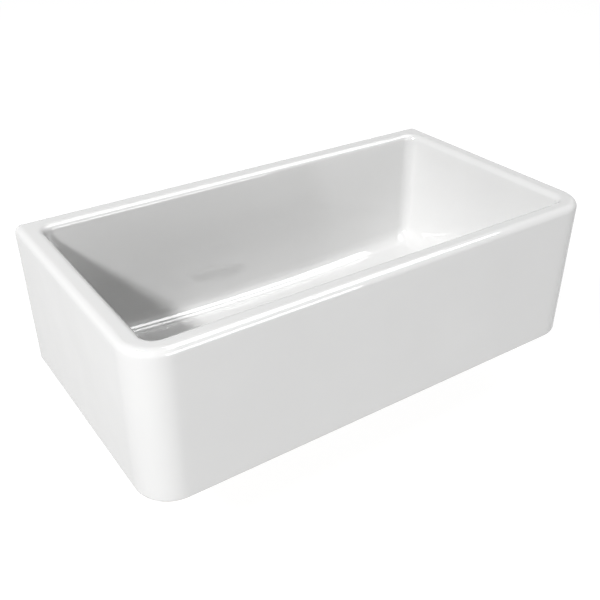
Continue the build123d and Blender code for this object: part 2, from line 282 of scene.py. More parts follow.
def roundedLine(corners):
    # Corners (radius, height, rounding) become points, each corner an arc between its two touch
    # points: touch = rounding / tan(half the corner's angle), at most a share of either side.
    made = []
    for i, (r, z, rounding) in enumerate(corners):
        here = np.array([r, z])
        if rounding <= 0:
            made.append(here[None])
            continue
        toBefore = np.array(corners[i - 1][:2]) - here
        toAfter = np.array(corners[(i + 1) % len(corners)][:2]) - here
        lengths = np.linalg.norm(toBefore), np.linalg.norm(toAfter)
        toBefore, toAfter = toBefore / lengths[0], toAfter / lengths[1]
        half = math.acos(max(-1.0, min(1.0, float(toBefore @ toAfter)))) / 2
        touch = min(rounding / math.tan(half), grid["longestTouch"] * min(lengths))
        bisector = (toBefore + toAfter) / np.linalg.norm(toBefore + toAfter)
        centre = here + bisector * touch / math.cos(half)
        first, last = here + toBefore * touch - centre, here + toAfter * touch - centre
        # the arc: first and last are blended by the sines of the angles that are left and passed
        sweep = math.pi - 2 * half
        share = np.linspace(0, 1, grid["arcSteps"] + 1)[:, None]
        blend = np.sin((1 - share) * sweep) * first + np.sin(share * sweep) * last
        made.append(centre + blend / math.sin(sweep))
    return np.concatenate(made)


def sheetCorners(line, thickness, endRounding):
    # The closed section of a bent sheet: its middle line (radius, height, bend) moved half the
    # thickness to either side, mitred at each bend, whose radius grows or shrinks as much.
    points = np.array([point[:2] for point in line])
    steps = np.diff(points, axis=0)
    steps /= np.linalg.norm(steps, axis=1)[:, None]
    before, after = np.vstack([steps[:1], steps]), np.vstack([steps, steps[-1:]])
    turn = before[:, 0] * after[:, 1] - before[:, 1] * after[:, 0]
    firstSide, lastSide = before[:, ::-1] * (-1, 1), after[:, ::-1] * (-1, 1)
    mitre = (firstSide + lastSide) / (1 + np.sum(firstSide * lastSide, axis=1))[:, None]
    sides = []
    for side in (thickness / 2, -thickness / 2):
        bends = [max(bend - math.copysign(side, side * direction), 0.0) if bend else 0.0
                 for (_, _, bend), direction in zip(line, turn)]
        bends[0] = bends[-1] = endRounding
        sides.append([(r, z, bend) for (r, z), bend in zip(points + mitre * side, bends)])
    return sides[0] + sides[1][::-1]


def threadRows(line, closed, radius, step):
    # extra points along straight upright stretches at one radius, for a thread
    made = []
    for here, following in zip(line, np.roll(line, -1, axis=0)):
        upright = np.all(np.abs(np.array([here[0], following[0]]) - radius) < grid["onThread"])
        extra = int(abs(following[1] - here[1]) / step) if upright else 0
        share = np.linspace(0, 1, extra + 2)[:-1, None]
        made.append(here + share * (following - here))
    if not closed:
        made[-1] = made[-1][:1]
    return np.concatenate(made)


def turnedPiece(name, node, corners, columns=96, solid=False, thread=None, shape=None):
    # A line of (radius, height, rounding) corners in metres above the underside, turned about the
    # drain axis: solid ones begin and end on the axis, the others are closed rings.
    line = roundedLine(corners)
    if thread:
        step = thread["pitch"] / grid["threadSteps"]
        line = threadRows(line, not solid, thread["radius"], step)
    angle = np.arange(columns) * 2 * np.pi / columns
    r, z = line[:, :1] + 0 * angle, line[:, 1:] + 0 * angle
    if shape:
        r, z = shape(r, z, angle + 0 * r)
    if thread:
        # depth * (1 - cos(turns along the helix)) / 2, faded in and out over one pitch at the ends
        wave = (1 - np.cos(2 * np.pi * z / thread["pitch"] - angle)) / 2
        fade = (np.clip((z - thread["low"]) / thread["pitch"], 0, 1)
                * np.clip((thread["high"] - z) / thread["pitch"], 0, 1))
        onThread = np.abs(line[:, :1] - thread["radius"]) < grid["onThread"]
        r = r + np.where(onThread, thread["depth"] * wave * fade, 0)
    points = np.stack([r * np.cos(angle), r * np.sin(angle), z + undersideZ], axis=-1)
    makePiece(name, points, gridFaces(len(line), columns, not solid, True), node)


def ringPiece(name, node, bore, rounding):
    # a plain ring as high and wide as its node
    low, high, outer = heights(node)
    turnedPiece(name, node, [(bore, low, rounding), (outer, low, rounding),
                             (outer, high, rounding), (bore, high, rounding)])


def slabPiece(name, node, outlines, low, high, edge):
    # each outline of (x, y) points becomes a closed slab between two heights above the underside
    points, faces, start = [], [], 0
    for outline in outlines:
        count = len(outline)
        points += [np.column_stack([outline, np.full(count, z + undersideZ)]) for z in (low, high)]
        lower = np.arange(count) + start
        following = np.roll(lower, -1)
        faces += [lower[::-1].tolist(), (lower + count).tolist()]
        faces += np.stack([lower, following, following + count, lower + count], axis=1).tolist()
        start += 2 * count
    piece = makePiece(name, np.concatenate(points), faces, node)
    bevel = piece.modifiers.new("edges", "BEVEL")
    bevel.width, bevel.segments, bevel.limit_method = edge, 2, "ANGLE"


def heights(node):
    # a node's lowest and highest point above the underside, and its outer radius
    low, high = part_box(node)
    return low.z - undersideZ, high.z - undersideZ, high.x


# slope of the cone at a nut's ends, and where the rows of its outer wall start
nutRows = {"slope": 1.2, "leastCut": 0.02 * mm, "hair": 0.01 * mm, "tuck": 0.1}


def nutBody(outer, low, high):
    # an outer wall with a row a little in from each end, which nutShape moves
    tuck = nutRows["tuck"] * (high - low)
    return [(outer, low, 0), (outer, low + tuck, 0), (outer, high - tuck, 0), (outer, high, 0)]


def nutShape(sides, flat, low, high, start):
    # Moves a nut's outer rows to a polygon, at distance flat / cos(angle from the flat's middle).
    # A cone that starts outside the flats cuts both ends, so each corner loses
    # (reach - flat - start) / slope of its height.
    part, hair = 2 * np.pi / sides, nutRows["hair"]

    def shape(r, z, angle):
        reach = flat / np.cos((angle + part / 2) % part - part / 2)
        cut = np.maximum((reach - flat - start) / nutRows["slope"], nutRows["leastCut"])
        body = r > flat / math.cos(part / 2) - hair
        end = (z < low + hair) | (z > high - hair)
        newR = np.where(end, np.minimum(reach, flat + start), reach - hair)
        newZ = np.where(end, z, np.where(z < (low + high) / 2, low + cut, high - cut))
        return np.where(body, newR, r), np.where(body, newZ, z)
    return shape


strainer = {
    "sheet": 1 * mm, "sheetEnd": 0.4 * mm, "flange": 57.15 * mm, "dishOuter": 50.15 * mm,
    "dishDrop": 1.8 * mm, "neck": 43 * mm, "neckBend": 3 * mm, "cupBend": 7 * mm,
    "cupDepth": 58 * mm, "seat": 30 * mm, "seatRise": 3.5 * mm, "seatBend": 2 * mm,
    "well": 19.5 * mm, "wellDepth": 6 * mm, "wellEdge": 1 * mm, "wellFoot": 0.6 * mm,
    "window": 17.5 * mm, "hub": 5 * mm, "barWidth": 4.5 * mm, "barEdge": 0.2 * mm,
    "crossThickness": 0.96,     # share of the sheet, so that its faces don't lie in the cup's
    "pitch": 2.1 * mm, "threadDepth": 0.55 * mm, "threadLow": -27 * mm, "threadHigh": 4 * mm,
    "columns": 144, "hubSteps": 7,
}


def makeStrainer():
    # the cup is a bent sheet: flange, shallow dish, neck, seat, then the well down to its window
    s = strainer
    half = s["sheet"] / 2
    flangeMid = heights("strainer_body")[1] - half
    neckMid, floorMid = s["neck"] - half, flangeMid - s["cupDepth"]
    wellMid, wellFloor = s["well"] - half, floorMid - s["wellDepth"]
    line = [(s["flange"], flangeMid, 0),
            (s["dishOuter"], flangeMid, s["neckBend"]),
            (neckMid, flangeMid - s["dishDrop"], s["neckBend"]),
            (neckMid, floorMid + s["seatRise"], s["cupBend"]),
            (s["seat"], floorMid, s["seatBend"]),
            (wellMid, floorMid, s["wellEdge"]),
            (wellMid, wellFloor, s["wellFoot"]),
            (s["window"], wellFloor, 0)]
    thread = {"radius": s["neck"], "low": s["threadLow"], "high": s["threadHigh"],
              "pitch": s["pitch"], "depth": -s["threadDepth"]}
    turnedPiece("strainerCup", "strainer_body", sheetCorners(line, s["sheet"], s["sheetEnd"]),
                s["columns"], thread=thread)

    # the cross: in each quarter the hub's arc, then the next bar's two sides out to the window
    side, barEnd = s["barWidth"] / 2, s["window"] + half
    hubTurn, endTurn = math.asin(side / s["hub"]), math.asin(side / barEnd)
    quarter = np.concatenate([np.linspace(hubTurn - math.pi / 2, -hubTurn, s["hubSteps"]),
                              [-endTurn, endTurn]])
    turn = np.concatenate([quarter + i * math.pi / 2 for i in range(4)])
    reach = np.tile([s["hub"]] * s["hubSteps"] + [barEnd] * 2, 4)
    outline = np.column_stack([reach * np.cos(turn), reach * np.sin(turn)])
    thick = half * s["crossThickness"]
    slabPiece("outletCross", "strainer_body", [outline], wellFloor - thick, wellFloor + thick,
              s["barEdge"])


clamp = {
    "bore": 43.4 * mm, "gasketEdge": 1.1 * mm, "frictionEdge": 0.25 * mm,
    "nutWall": 49 * mm, "nutBase": 53 * mm, "baseThickness": 3.5 * mm,
    "nutBreak": 0.5 * mm, "nutWallEdge": 1 * mm, "nutBaseEdge": 0.8 * mm,
    "lugs": 8, "lug": 55.9 * mm, "lugRoot": 45 * mm, "lugWidth": 7 * mm, "lugCorner": 1.5 * mm,
    "lugTop": 1.75 * mm, "lugFoot": 0.02 * mm, "lugEdge": 0.5 * mm, "lugCornerSteps": 7,
    "columns": 144,
}


def makeClamp():
    # what clamps the strainer under the basin: two rings, and a nut with a wide base and lugs
    c = clamp
    ringPiece("bodyGasket", "body_gasket", c["bore"], c["gasketEdge"])
    ringPiece("frictionRing", "friction_ring", c["bore"], c["frictionEdge"])
    low, high, _ = heights("lock_nut")
    baseZ = high - c["baseThickness"]
    turnedPiece("lockNut", "lock_nut", [
        (c["bore"], low, c["nutBreak"]), (c["nutWall"], low, c["nutWallEdge"]),
        (c["nutWall"], baseZ, c["nutBaseEdge"]), (c["nutBase"], baseZ, c["nutBaseEdge"]),
        (c["nutBase"], high, c["nutBreak"]), (c["bore"], high, c["nutBreak"])], c["columns"])

    # one lug on the X axis, with rounded outer corners, then turned to the others
    side, corner = c["lugWidth"] / 2, c["lugCorner"]
    arc = quarterTurn(c["lugCornerSteps"])
    tipX, tipY = c["lug"] - corner + corner * np.cos(arc), side - corner + corner * np.sin(arc)
    x = np.concatenate([[c["lugRoot"]], tipX[::-1], tipX, [c["lugRoot"]]])
    y = np.concatenate([[-side], -tipY[::-1], tipY, [side]])
    lugs = [np.stack([x * np.cos(turn) - y * np.sin(turn), x * np.sin(turn) + y * np.cos(turn)],
                     axis=1) for turn in np.arange(c["lugs"]) * 2 * np.pi / c["lugs"]]
    slabPiece("lockNutLugs", "lock_nut", lugs, low + c["lugFoot"], high - c["lugTop"],
              c["lugEdge"])


outlet = {
    "pitch": 2.2 * mm, "threadDepth": 0.6 * mm,
    "wellBore": 19.55 * mm, "spudChamfer": 0.8 * mm, "boreChamfer": 1 * mm, "spudEdge": 0.3 * mm,
    "threadStop": 1.5 * mm, "washerEdge": 0.5 * mm,
    "tubeBore": 18.15 * mm, "tube": 19.05 * mm, "tubeEdge": 0.35 * mm,
    "neck": 19.25 * mm, "neckLength": 5 * mm, "neckStep": 0.2 * mm,
    "lipThickness": 1.2 * mm, "lipRoot": 0.4 * mm, "lipEdge": 0.5 * mm, "lipBore": 0.7 * mm,
    "nutSides": 8, "nutFlat": 27 * mm, "nutBore": 23.85 * mm, "nutLipBore": 19.65 * mm,
    "nutLip": 3 * mm, "nutEdge": 0.4 * mm, "nutMouth": 0.7 * mm, "nutSeat": 0.3 * mm,
    "nutCone": 0.2 * mm, "nutThreadEnd": 1 * mm, "nutColumns": 192,
}


def makeOutlet():
    # the threaded spud, and the flanged tube that its nut and washer hold
    o = outlet
    low, high, outer = heights("outlet_spud")
    chamferZ = low + o["spudChamfer"]
    turnedPiece("outletSpud", "outlet_spud", [
        (o["wellBore"], low, o["spudEdge"]), (outer - o["spudChamfer"], low, 0),
        (outer, chamferZ, 0), (outer, high, o["spudEdge"]),
        (o["wellBore"] + o["boreChamfer"], high, 0), (o["wellBore"], high - o["boreChamfer"], 0)],
        thread={"radius": outer, "low": chamferZ, "high": high - o["threadStop"],
                "pitch": o["pitch"], "depth": -o["threadDepth"]})

    ringPiece("tailpieceWasher", "tailpiece_washer", o["tubeBore"], o["washerEdge"])

    low, high, outer = heights("tailpiece")
    lipZ = high - o["lipThickness"]
    neckZ = lipZ - o["neckLength"]
    turnedPiece("tailpiece", "tailpiece", [
        (o["tubeBore"], low, o["tubeEdge"]), (o["tube"], low, o["tubeEdge"]),
        (o["tube"], neckZ - o["neckStep"], o["neckStep"]), (o["neck"], neckZ, o["neckStep"]),
        (o["neck"], lipZ, o["lipRoot"]), (outer, lipZ, o["lipEdge"]),
        (outer, high, o["lipRoot"]), (o["tubeBore"], high, o["lipBore"])])

    low, high, outer = heights("coupling_nut")
    lipTop = low + o["nutLip"]
    turnedPiece("couplingNut", "coupling_nut",
                [(o["nutLipBore"], low, o["nutEdge"])] + nutBody(outer, low, high)
                + [(o["nutBore"], high, o["nutMouth"]), (o["nutBore"], lipTop, o["nutSeat"]),
                   (o["nutLipBore"], lipTop, o["nutEdge"])],
                o["nutColumns"],
                shape=nutShape(o["nutSides"], o["nutFlat"], low, high, o["nutCone"]),
                thread={"radius": o["nutBore"], "low": lipTop + o["nutThreadEnd"],
                        "high": high - o["nutThreadEnd"], "pitch": o["pitch"],
                        "depth": o["threadDepth"]})


basket = {
    "rod": 4.05 * mm, "guide": 7.25 * mm, "guideFoot": 9.85 * mm, "footThickness": 1.4 * mm,
    "spigot": 5.65 * mm, "lip": 6.55 * mm, "lipThickness": 0.9 * mm, "sheet": 0.8 * mm,
    "boreEdge": 0.3 * mm, "lipEdge": 0.4 * mm, "lipRoot": 0.1 * mm, "footRoot": 0.15 * mm,
    "footEdge": 0.5 * mm, "guideRoot": 0.8 * mm, "guideEdge": 0.7 * mm, "boreTop": 0.35 * mm,
    "clipWire": 1.1 * mm, "clipFit": 0.98, "clipRise": 4.5 * mm, "clipGap": math.radians(50),
    "clipRings": 64, "clipColumns": 16, "clipPoint": 1e-9,      # the last: radius at its ends
}


def makeGuide():
    # the bush in the basket's floor, with a groove round its bore for the clip
    b = basket
    low, high, _ = heights("post_guide")
    lipTop = low + b["lipThickness"]
    floorTop = lipTop + b["sheet"]
    footTop = floorTop + b["footThickness"]
    grooveLow = floorTop + b["clipRise"]
    grooveTop, groove = grooveLow + b["clipWire"], b["rod"] + b["clipWire"]
    turnedPiece("postGuide", "post_guide", [
        (b["rod"], low, b["boreEdge"]), (b["lip"], low, b["lipEdge"]),
        (b["lip"], lipTop, b["lipRoot"]), (b["spigot"], lipTop, 0), (b["spigot"], floorTop, 0),
        (b["guideFoot"], floorTop, b["footRoot"]), (b["guideFoot"], footTop, b["footEdge"]),
        (b["guide"], footTop, b["guideRoot"]), (b["guide"], high, b["guideEdge"]),
        (b["rod"], high, b["boreTop"]), (b["rod"], grooveTop, 0), (groove, grooveTop, 0),
        (groove, grooveLow, 0), (b["rod"], grooveLow, 0)])

    # the clip: a round wire bent to an open ring, its two ends closed to a point
    wire, openEnd = b["clipWire"] / 2, math.pi - b["clipGap"] / 2
    bend = np.linspace(-openEnd, openEnd, b["clipRings"])
    bend = np.concatenate([[bend[0]], bend, [bend[-1]]])[:, None] + math.pi
    size = np.full_like(bend, wire * b["clipFit"])
    size[[0, -1]] = b["clipPoint"]
    around = np.arange(b["clipColumns"]) * 2 * np.pi / b["clipColumns"]
    r = b["rod"] + wire + size * np.cos(around)
    z = grooveLow + wire + size * np.sin(around) + undersideZ
    points = np.stack([r * np.cos(bend), r * np.sin(bend), z], axis=-1)
    makePiece("guideClip", points, gridFaces(len(bend), b["clipColumns"], False, True),
              "guide_clip")


stopper = {
    "rod": 4 * mm, "rodEdge": 0.4 * mm, "screw": 2.5 * mm, "travel": 10 * mm,
    "groove": 0.6 * mm, "grooveWidth": 1.6 * mm, "grooveFloor": 0.96 * mm, "grooveEdge": 0.15 * mm,
    "knobWaist": 7.5 * mm, "knobFoot": 9 * mm, "knobCrown": 2.5 * mm, "knobEdge": 0.5 * mm,
    "knobBore": 9 * mm, "knobFit": 0.05 * mm, "knobBoreEdge": 0.3 * mm,
    "crownRows": 15, "waistRows": 20, "postColumns": 64,
    "screwHole": 2.55 * mm, "plateEdge": 0.4 * mm, "washerEdge": 0.3 * mm,
    "sealBevel": 1.5 * mm, "sealEdge": 0.6 * mm, "sealBoreEdge": 0.2 * mm,
    "nutSides": 6, "nutFlat": 4 * mm, "nutCone": 0.05 * mm, "nutEdge": 0.15 * mm,
}


def makeStopper():
    # the post has a groove for the clip at each end of its travel
    s = stopper
    low, high, _ = heights("stopper_post")
    plateTop = heights("stopper_plate")[1]
    clipMiddle = heights("guide_clip")[0] + basket["clipWire"] / 2
    post = [(0, low, 0), (s["screw"], low, s["rodEdge"]), (s["screw"], plateTop, 0),
            (s["rod"], plateTop, s["rodEdge"])]
    rim, floor, grooved = s["grooveWidth"] / 2, s["grooveFloor"] / 2, s["rod"] - s["groove"]
    for middle in (clipMiddle - s["travel"], clipMiddle):
        post += [(r, middle + z, s["grooveEdge"]) for r, z in
                 ((s["rod"], -rim), (grooved, -floor), (grooved, floor), (s["rod"], rim))]
    post += [(s["rod"], high, s["rodEdge"]), (0, high, 0)]
    turnedPiece("stopperPost", "stopper_post", post, s["postColumns"], solid=True)

    # the knob's crown is a quarter of an ellipse, and its waist a parabola from edge to foot
    low, high, outer = heights("knob")
    edgeZ, bore = high - s["knobCrown"], s["rod"] + s["knobFit"]
    turn = quarterTurn(s["crownRows"])[:-1]
    crown = np.stack([outer * np.sin(turn), edgeZ + s["knobCrown"] * np.cos(turn), 0 * turn],
                     axis=1)
    share = np.linspace(0, 1, s["waistRows"])
    hollow = (outer + s["knobFoot"]) / 2 - s["knobWaist"]
    waist = np.stack([outer + (s["knobFoot"] - outer) * share - hollow * 4 * share * (1 - share),
                      edgeZ + (low - edgeZ) * share, 0 * share], axis=1)
    waist[[0, -1], 2] = s["knobEdge"]
    turnedPiece("pullKnob", "knob", crown.tolist() + waist.tolist() + [
        (bore, low, s["knobBoreEdge"]), (bore, low + s["knobBore"], 0),
        (0, low + s["knobBore"], 0)], solid=True)

    ringPiece("stopperPlate", "stopper_plate", s["screwHole"], s["plateEdge"])
    ringPiece("sealWasher", "seal_washer", s["screwHole"], s["washerEdge"])
    low, high, outer = heights("stopper_seal")
    bevel, edge = s["sealBevel"], s["sealEdge"]
    turnedPiece("stopperSeal", "stopper_seal", [
        (s["screwHole"], low, s["sealBoreEdge"]), (outer - bevel, low, edge),
        (outer, low + bevel, edge), (outer, high - bevel, edge), (outer - bevel, high, edge),
        (s["screwHole"], high, s["sealBoreEdge"])])
    low, high, _ = heights("seal_nut")
    corner = s["nutFlat"] / math.cos(math.pi / s["nutSides"])
    turnedPiece("sealNut", "seal_nut",
                [(s["screwHole"], low, s["nutEdge"])] + nutBody(corner, low, high)
                + [(s["screwHole"], high, s["nutEdge"])],
                shape=nutShape(s["nutSides"], s["nutFlat"], low, high, s["nutCone"]))


makeStrainer()
makeClamp()
makeOutlet()
makeGuide()
makeStopper()
print("waste pieces done")


# helpers for nodes: a source is an output socket, and links is its tree's links

def addNode(nodes, kind, sockets=None, **settings):
    node = nodes.new("ShaderNode" + kind)
    for key, value in settings.items():
        setattr(node, key, value)
    for key, value in (sockets or {}).items():
        node.inputs[key].default_value = value
    return node


def joinNodes(links, *pairs):
    for source, target in pairs:
        links.new(source, target)


def worked(nodes, links, operation, *values):
    # one Math node's result; each value is a number or a source
    node = addNode(nodes, "Math", operation=operation)
    for socket, value in zip(node.inputs, values):
        if isinstance(value, (int, float)):
            socket.default_value = value
        else:
            links.new(value, socket)
    return node.outputs[0]


def newGroup(name, inputs):
    # a group with named number inputs and one output, Value
    group = bpy.data.node_groups.new(name, "ShaderNodeTree")
    sockets = group.interface
    for label, value in inputs.items():
        made = sockets.new_socket(label, in_out="INPUT", socket_type="NodeSocketFloat")
        made.default_value = value
    sockets.new_socket("Value", in_out="OUTPUT", socket_type="NodeSocketFloat")
    given, result = group.nodes.new("NodeGroupInput"), group.nodes.new("NodeGroupOutput")
    return group, given.outputs, result.inputs["Value"]


# effects that the materials share, as node groups that put out only values

def makeCloud():
    # soft noise in object space, its usual 0.3 to 0.7 stretched to 0 to 1; Scale is in waves
    # per metre
    group, given, result = newGroup("cloud", {"Scale": 10.0, "Detail": 2.0})
    nodes, links = group.nodes, group.links
    place, noise = addNode(nodes, "TexCoord"), addNode(nodes, "TexNoise")
    widen = addNode(nodes, "MapRange", {"From Min": 0.3, "From Max": 0.7})
    joinNodes(links,
              (place.outputs["Object"], noise.inputs["Vector"]),
              (given["Scale"], noise.inputs["Scale"]),
              (given["Detail"], noise.inputs["Detail"]),
              (noise.outputs[0], widen.inputs["Value"]),
              (widen.outputs["Result"], result))
    return group


def makeTurnedLines():
    # fine rings about the drain axis, as left by turning or polishing: noise that is quick along
    # radius + height and slow round the axis, where the unit vector (x, y) / radius has no seam
    group, given, result = newGroup("turnedLines", {"Per Metre": 6000.0, "Round": 1.5})
    nodes, links = group.nodes, group.links
    place, parts = addNode(nodes, "TexCoord"), addNode(nodes, "SeparateXYZ")
    flat = addNode(nodes, "VectorMath", {1: (1, 1, 0)}, operation="MULTIPLY")
    length = addNode(nodes, "VectorMath", operation="LENGTH")
    unit = addNode(nodes, "VectorMath", operation="NORMALIZE")
    slow, slowParts = addNode(nodes, "VectorMath", operation="SCALE"), addNode(nodes, "SeparateXYZ")
    joined = addNode(nodes, "CombineXYZ")
    noise = addNode(nodes, "TexNoise", {"Scale": 1.0, "Detail": 3.0})
    joinNodes(links,
              (place.outputs["Object"], flat.inputs[0]),
              (place.outputs["Object"], parts.inputs[0]),
              (flat.outputs[0], length.inputs[0]),
              (flat.outputs[0], unit.inputs[0]),
              (unit.outputs[0], slow.inputs[0]),
              (given["Round"], slow.inputs["Scale"]),
              (slow.outputs[0], slowParts.inputs[0]))
    across = worked(nodes, links, "ADD", length.outputs["Value"], parts.outputs["Z"])
    quick = worked(nodes, links, "MULTIPLY", across, given["Per Metre"])
    joinNodes(links,
              (slowParts.outputs["X"], joined.inputs["X"]),
              (slowParts.outputs["Y"], joined.inputs["Y"]),
              (quick, joined.inputs["Z"]),
              (joined.outputs[0], noise.inputs["Vector"]),
              (noise.outputs[0], result))
    return group


def makeSpecks():
    # scattered round specks in object space: 1 within Size (in cells) of a cell's point, for the
    # share of the cells given by Share
    group, given, result = newGroup("specks", {"Scale": 60.0, "Size": 0.1, "Share": 0.3})
    nodes, links = group.nodes, group.links
    place, cells = addNode(nodes, "TexCoord"), addNode(nodes, "TexVoronoi")
    lottery = addNode(nodes, "SeparateColor")
    joinNodes(links,
              (place.outputs["Object"], cells.inputs["Vector"]),
              (given["Scale"], cells.inputs["Scale"]),
              (cells.outputs["Color"], lottery.inputs[0]))
    near = worked(nodes, links, "LESS_THAN", cells.outputs["Distance"], given["Size"])
    chosen = worked(nodes, links, "LESS_THAN", lottery.outputs[0], given["Share"])
    links.new(worked(nodes, links, "MULTIPLY", near, chosen), result)
    return group


cloud, turnedLines, specks = makeCloud(), makeTurnedLines(), makeSpecks()


def newMaterial(name):
    material = bpy.data.materials.new(name)
    material.use_nodes = True
    tree = material.node_tree
    return material, tree.nodes, tree.links, tree.nodes["Principled BSDF"]


def useGroup(nodes, group, **sockets):
    node = addNode(nodes, "Group", node_tree=group)
    for key, value in sockets.items():
        node.inputs[key].default_value = value
    return node.outputs["Value"]


def ranged(nodes, links, value, low, high):
    # a 0 to 1 value taken to the range low to high
    node = addNode(nodes, "MapRange", {"To Min": low, "To Max": high})
    links.new(value, node.inputs["Value"])
    return node.outputs["Result"]


def mixed(nodes, links, factor, first, second):
    # Colours, or outputs that carry them, blended by a 0 to 1 value. The Mix node's colour
    # sockets are 6 and 7, and 2 is its colour result.
    node = addNode(nodes, "Mix", data_type="RGBA")
    for socket, value in ((6, first), (7, second)):
        if isinstance(value, tuple):
            node.inputs[socket].default_value = value
        else:
            links.new(value, node.inputs[socket])
    links.new(factor, node.inputs[0])
    return node.outputs[2]


def bumped(nodes, links, shader, steps):
    # steps: (height value, distance in metres), stacked into one normal
    last = None
    for value, distance in steps:
        bump = addNode(nodes, "Bump", {"Distance": distance})
        links.new(value, bump.inputs["Height"])
        if last:
            links.new(last, bump.inputs["Normal"])
        last = bump.outputs["Normal"]
    links.new(last, shader.inputs["Normal"])


glaze = {
    "white": (0.755, 0.755, 0.752, 1), "shade": (0.74, 0.74, 0.737, 1), "mottle": 7.0,
    "fleck": (0.62, 0.6, 0.56, 1), "flecks": 45.0, "fleckSize": 0.018, "fleckShare": 0.12,
    "ior": 1.9, "smooth": 0.006, "dull": 0.02, "sheen": 16.0,
    "wave": 11.0, "waveDepth": 0.45 * mm, "peel": 160.0, "peelDepth": 0.01 * mm,
    "clay": (0.66, 0.6, 0.5, 1), "clayDark": (0.55, 0.48, 0.38, 1), "clayTone": 30.0,
    "clayRough": 0.85, "grain": 900.0, "grainDepth": 0.2 * mm,
    "clayTop": 2.6 * mm, "clayFade": 0.3 * mm, "jag": 0.7 * mm, "jags": 70.0,
}


def makeGlaze():
    # White glaze with a faint mottle and long soft waves. Below clayTop the foot and underside
    # are bare fired clay, with an uneven edge.
    g = glaze
    material, nodes, links, shader = newMaterial("glazedFireclay")
    shader.inputs["IOR"].default_value = g["ior"]
    place, parts = addNode(nodes, "TexCoord"), addNode(nodes, "SeparateXYZ")
    links.new(place.outputs["Object"], parts.inputs[0])
    jag = ranged(nodes, links, useGroup(nodes, cloud, Scale=g["jags"], Detail=4.0),
                 -g["jag"], g["jag"])
    clayTop = undersideZ + g["clayTop"]
    step = addNode(nodes, "MapRange", {"From Min": clayTop, "From Max": clayTop + g["clayFade"],
                                       "To Min": 1.0, "To Max": 0.0})
    links.new(worked(nodes, links, "ADD", parts.outputs["Z"], jag), step.inputs["Value"])
    bare = step.outputs["Result"]

    mottle = useGroup(nodes, cloud, Scale=g["mottle"], Detail=3.0)
    flecks = useGroup(nodes, specks, Scale=g["flecks"], Size=g["fleckSize"], Share=g["fleckShare"])
    glazed = mixed(nodes, links, mottle, g["white"], g["shade"])
    glazed = mixed(nodes, links, flecks, glazed, g["fleck"])
    clayTone = useGroup(nodes, cloud, Scale=g["clayTone"], Detail=6.0)
    clay = mixed(nodes, links, clayTone, g["clay"], g["clayDark"])
    links.new(mixed(nodes, links, bare, glazed, clay), shader.inputs["Base Color"])

    # the Mix node's number sockets are 2 and 3
    sheen = useGroup(nodes, cloud, Scale=g["sheen"], Detail=2.0)
    rough = addNode(nodes, "Mix", {3: g["clayRough"]})
    joinNodes(links,
              (bare, rough.inputs[0]),
              (ranged(nodes, links, sheen, g["smooth"], g["dull"]), rough.inputs[2]),
              (rough.outputs[0], shader.inputs["Roughness"]))

    grain = useGroup(nodes, cloud, Scale=g["grain"], Detail=4.0)
    bumped(nodes, links, shader, [
        (useGroup(nodes, cloud, Scale=g["wave"], Detail=0.5), g["waveDepth"]),
        (useGroup(nodes, cloud, Scale=g["peel"], Detail=1.0), g["peelDepth"]),
        (worked(nodes, links, "MULTIPLY", grain, bare), g["grainDepth"])])
    return material


metals = {
    "brushed_steel": {"name": "brushedSteel", "light": (0.6, 0.6, 0.59, 1),
                      "dark": (0.48, 0.48, 0.475, 1), "smooth": 0.17, "rough": 0.36,
                      "lines": 5200.0, "depth": 0.02 * mm, "turned": 0.55},
    "plated_metal": {"name": "platedMetal", "light": (0.78, 0.78, 0.79, 1),
                     "dark": (0.7, 0.7, 0.71, 1), "smooth": 0.05, "rough": 0.16,
                     "lines": 2600.0, "depth": 0.004 * mm, "turned": 0.15},
    "spring_steel": {"name": "springSteel", "light": (0.6, 0.6, 0.6, 1),
                     "dark": (0.46, 0.46, 0.47, 1), "smooth": 0.2, "rough": 0.4,
                     "lines": 7000.0, "depth": 0.01 * mm, "turned": 0.3},
}
metalTone = {"rings": 0.6, "smears": 0.4, "smearScale": 38.0}   # what makes up light to dark


def makeMetal(name, light, dark, smooth, rough, lines, depth, turned):
    # Metal with rings from turning or polishing and soft smears; turned gives its stretched glints.
    material, nodes, links, shader = newMaterial(name)
    shader.inputs["Metallic"].default_value = 1.0
    shader.inputs["Anisotropic"].default_value = turned
    tangent = addNode(nodes, "Tangent", direction_type="RADIAL", axis="Z")
    links.new(tangent.outputs[0], shader.inputs["Tangent"])
    rings = useGroup(nodes, turnedLines, **{"Per Metre": lines})
    smear = useGroup(nodes, cloud, Scale=metalTone["smearScale"], Detail=3.0)
    smear = ranged(nodes, links, smear, 0.0, metalTone["smears"])
    tone = worked(nodes, links, "MULTIPLY_ADD", rings, metalTone["rings"], smear)
    links.new(mixed(nodes, links, tone, light, dark), shader.inputs["Base Color"])
    links.new(ranged(nodes, links, tone, smooth, rough), shader.inputs["Roughness"])
    bumped(nodes, links, shader, [(rings, depth)])
    return material


